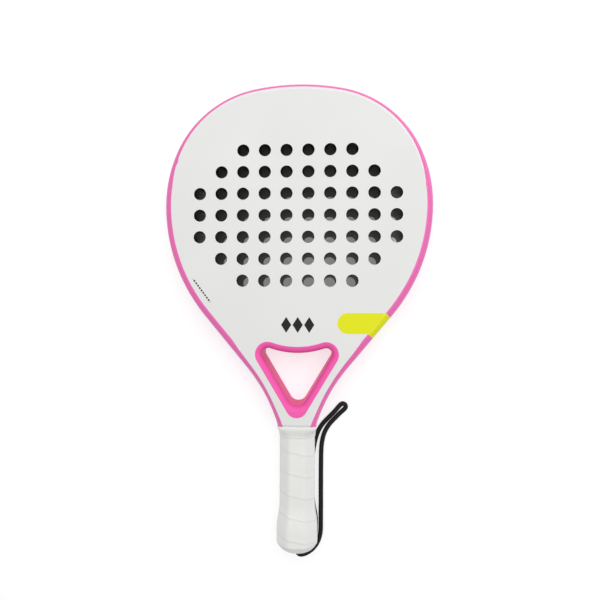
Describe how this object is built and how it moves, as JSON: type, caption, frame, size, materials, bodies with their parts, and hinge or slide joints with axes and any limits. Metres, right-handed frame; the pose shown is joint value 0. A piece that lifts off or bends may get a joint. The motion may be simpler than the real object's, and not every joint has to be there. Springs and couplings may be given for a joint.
{
  "type": "padel racket",
  "caption": "Padel racket with a perforated solid face, tubular frame, open throat triangle, wrapped octagonal handle and a wrist cord loop.",
  "frame": {"origin": "under the middle of the racket, on the plane its back face rests on; the free wrist cord is left out of the box", "axes": "+Z out of the front face, +Y along the racket from the butt to the crown, +X across the face"},
  "size_m": [0.26, 0.4636, 0.038],
  "materials": {
    "frame_lacquer": "glossy pink lacquer over carbon fibre tube",
    "bridge_laminate": "moulded carbon laminate",
    "bridge_foam": "cream structural foam",
    "rim_lacquer": "glossy pink lacquer",
    "core_foam": "black EVA foam, smooth drilled walls",
    "face_lacquer": "satin-gloss white lacquer over fibreglass",
    "pallet_foam": "rigid polyurethane foam",
    "plug_foam": "closed-cell foam",
    "base_grip_foam": "synthetic leather grip",
    "overgrip_film": "soft white polyurethane overgrip",
    "tape": "white finishing tape",
    "cap_plastic": "moulded white plastic",
    "cord_braid": "black polyester braid"
  },
  "bodies": {
    "racket": {"frame_tube": "frame_lacquer", "throat_bridge": "bridge_laminate", "bridge_foam": "bridge_foam", "throat_rim": "rim_lacquer", "foam_core": "core_foam", "front_face": "face_lacquer", "back_face": "face_lacquer", "pallet_front": "pallet_foam", "pallet_back": "pallet_foam", "tail_plug_left": "plug_foam", "tail_plug_right": "plug_foam", "base_grip": "base_grip_foam", "overgrip": "overgrip_film", "finishing_tape": "tape", "butt_cap": "cap_plastic", "cord_knot": "cord_braid"},
    "strap": {"wrist_cord": "cord_braid"}
  },
  "joints": [
    {"name": "strap_swing", "type": "hinge", "parent": "racket", "child": "strap", "pos_m": [0, -0.2275, 0.019], "axis": [0, 0, 1], "range_deg": [-60, 0]}
  ]
}
